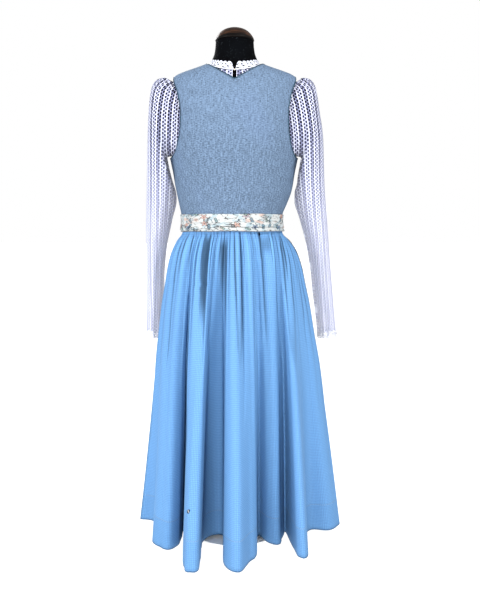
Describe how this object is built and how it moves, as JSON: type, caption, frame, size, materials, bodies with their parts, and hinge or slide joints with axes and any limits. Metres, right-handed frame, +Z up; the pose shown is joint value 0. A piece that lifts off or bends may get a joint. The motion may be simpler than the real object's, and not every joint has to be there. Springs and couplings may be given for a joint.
{
  "type": "dirndl on dress form",
  "caption": "Folk dress with fitted sleeveless bodice, gathered long skirt, print apron tied at the waist and long-sleeved lace blouse, on a limbless dress form with a flat stand.",
  "frame": {"origin": "on the floor, on the underside of the stand's base, straight below the form's pole", "axes": "+Z up through the pole; the front of the garment faces -Y, its back +Y, and the wearer's left is +X"},
  "size_m": [0.5364, 0.4735, 1.276],
  "materials": {
    "Chambray": "light blue slubbed chambray",
    "SkirtCotton": "light blue fine checked cotton",
    "PrintCotton": "pale cotton with a small floral print",
    "Lace": "pale lilac white lace",
    "PipingSatin": "dark satin piping",
    "FormCover": "black jersey",
    "DarkWood": "dark turned wood, satin",
    "PaleLacquer": "satin white",
    "Horn": "pale horn, satin"
  },
  "bodies": {
    "root": {"apron_panel": "PrintCotton", "apron_sash": "PrintCotton", "armhole_piping_left": "PipingSatin", "armhole_piping_right": "PipingSatin", "blouse_back_left": "Lace", "blouse_back_right": "Lace", "blouse_front": "Lace", "bodice_back": "Chambray", "bodice_button_1": "Horn", "bodice_button_2": "Horn", "bodice_button_3": "Horn", "bodice_button_4": "Horn", "bodice_button_5": "Horn", "bodice_front_left": "Chambray", "bodice_front_right": "Chambray", "bow_knot": "PrintCotton", "bow_loop_left": "PrintCotton", "bow_loop_right": "PrintCotton", "bow_tail_left": "PrintCotton", "bow_tail_right": "PrintCotton", "collar": "Lace", "cuff_left": "Lace", "cuff_right": "Lace", "form_base": "PaleLacquer", "form_cap": "DarkWood", "form_pole": "PaleLacquer", "form_torso": "FormCover", "neck_button": "Horn", "neck_piping": "PipingSatin", "skirt": "SkirtCotton", "sleeve_left": "Lace", "sleeve_right": "Lace"}
  },
  "joints": []
}
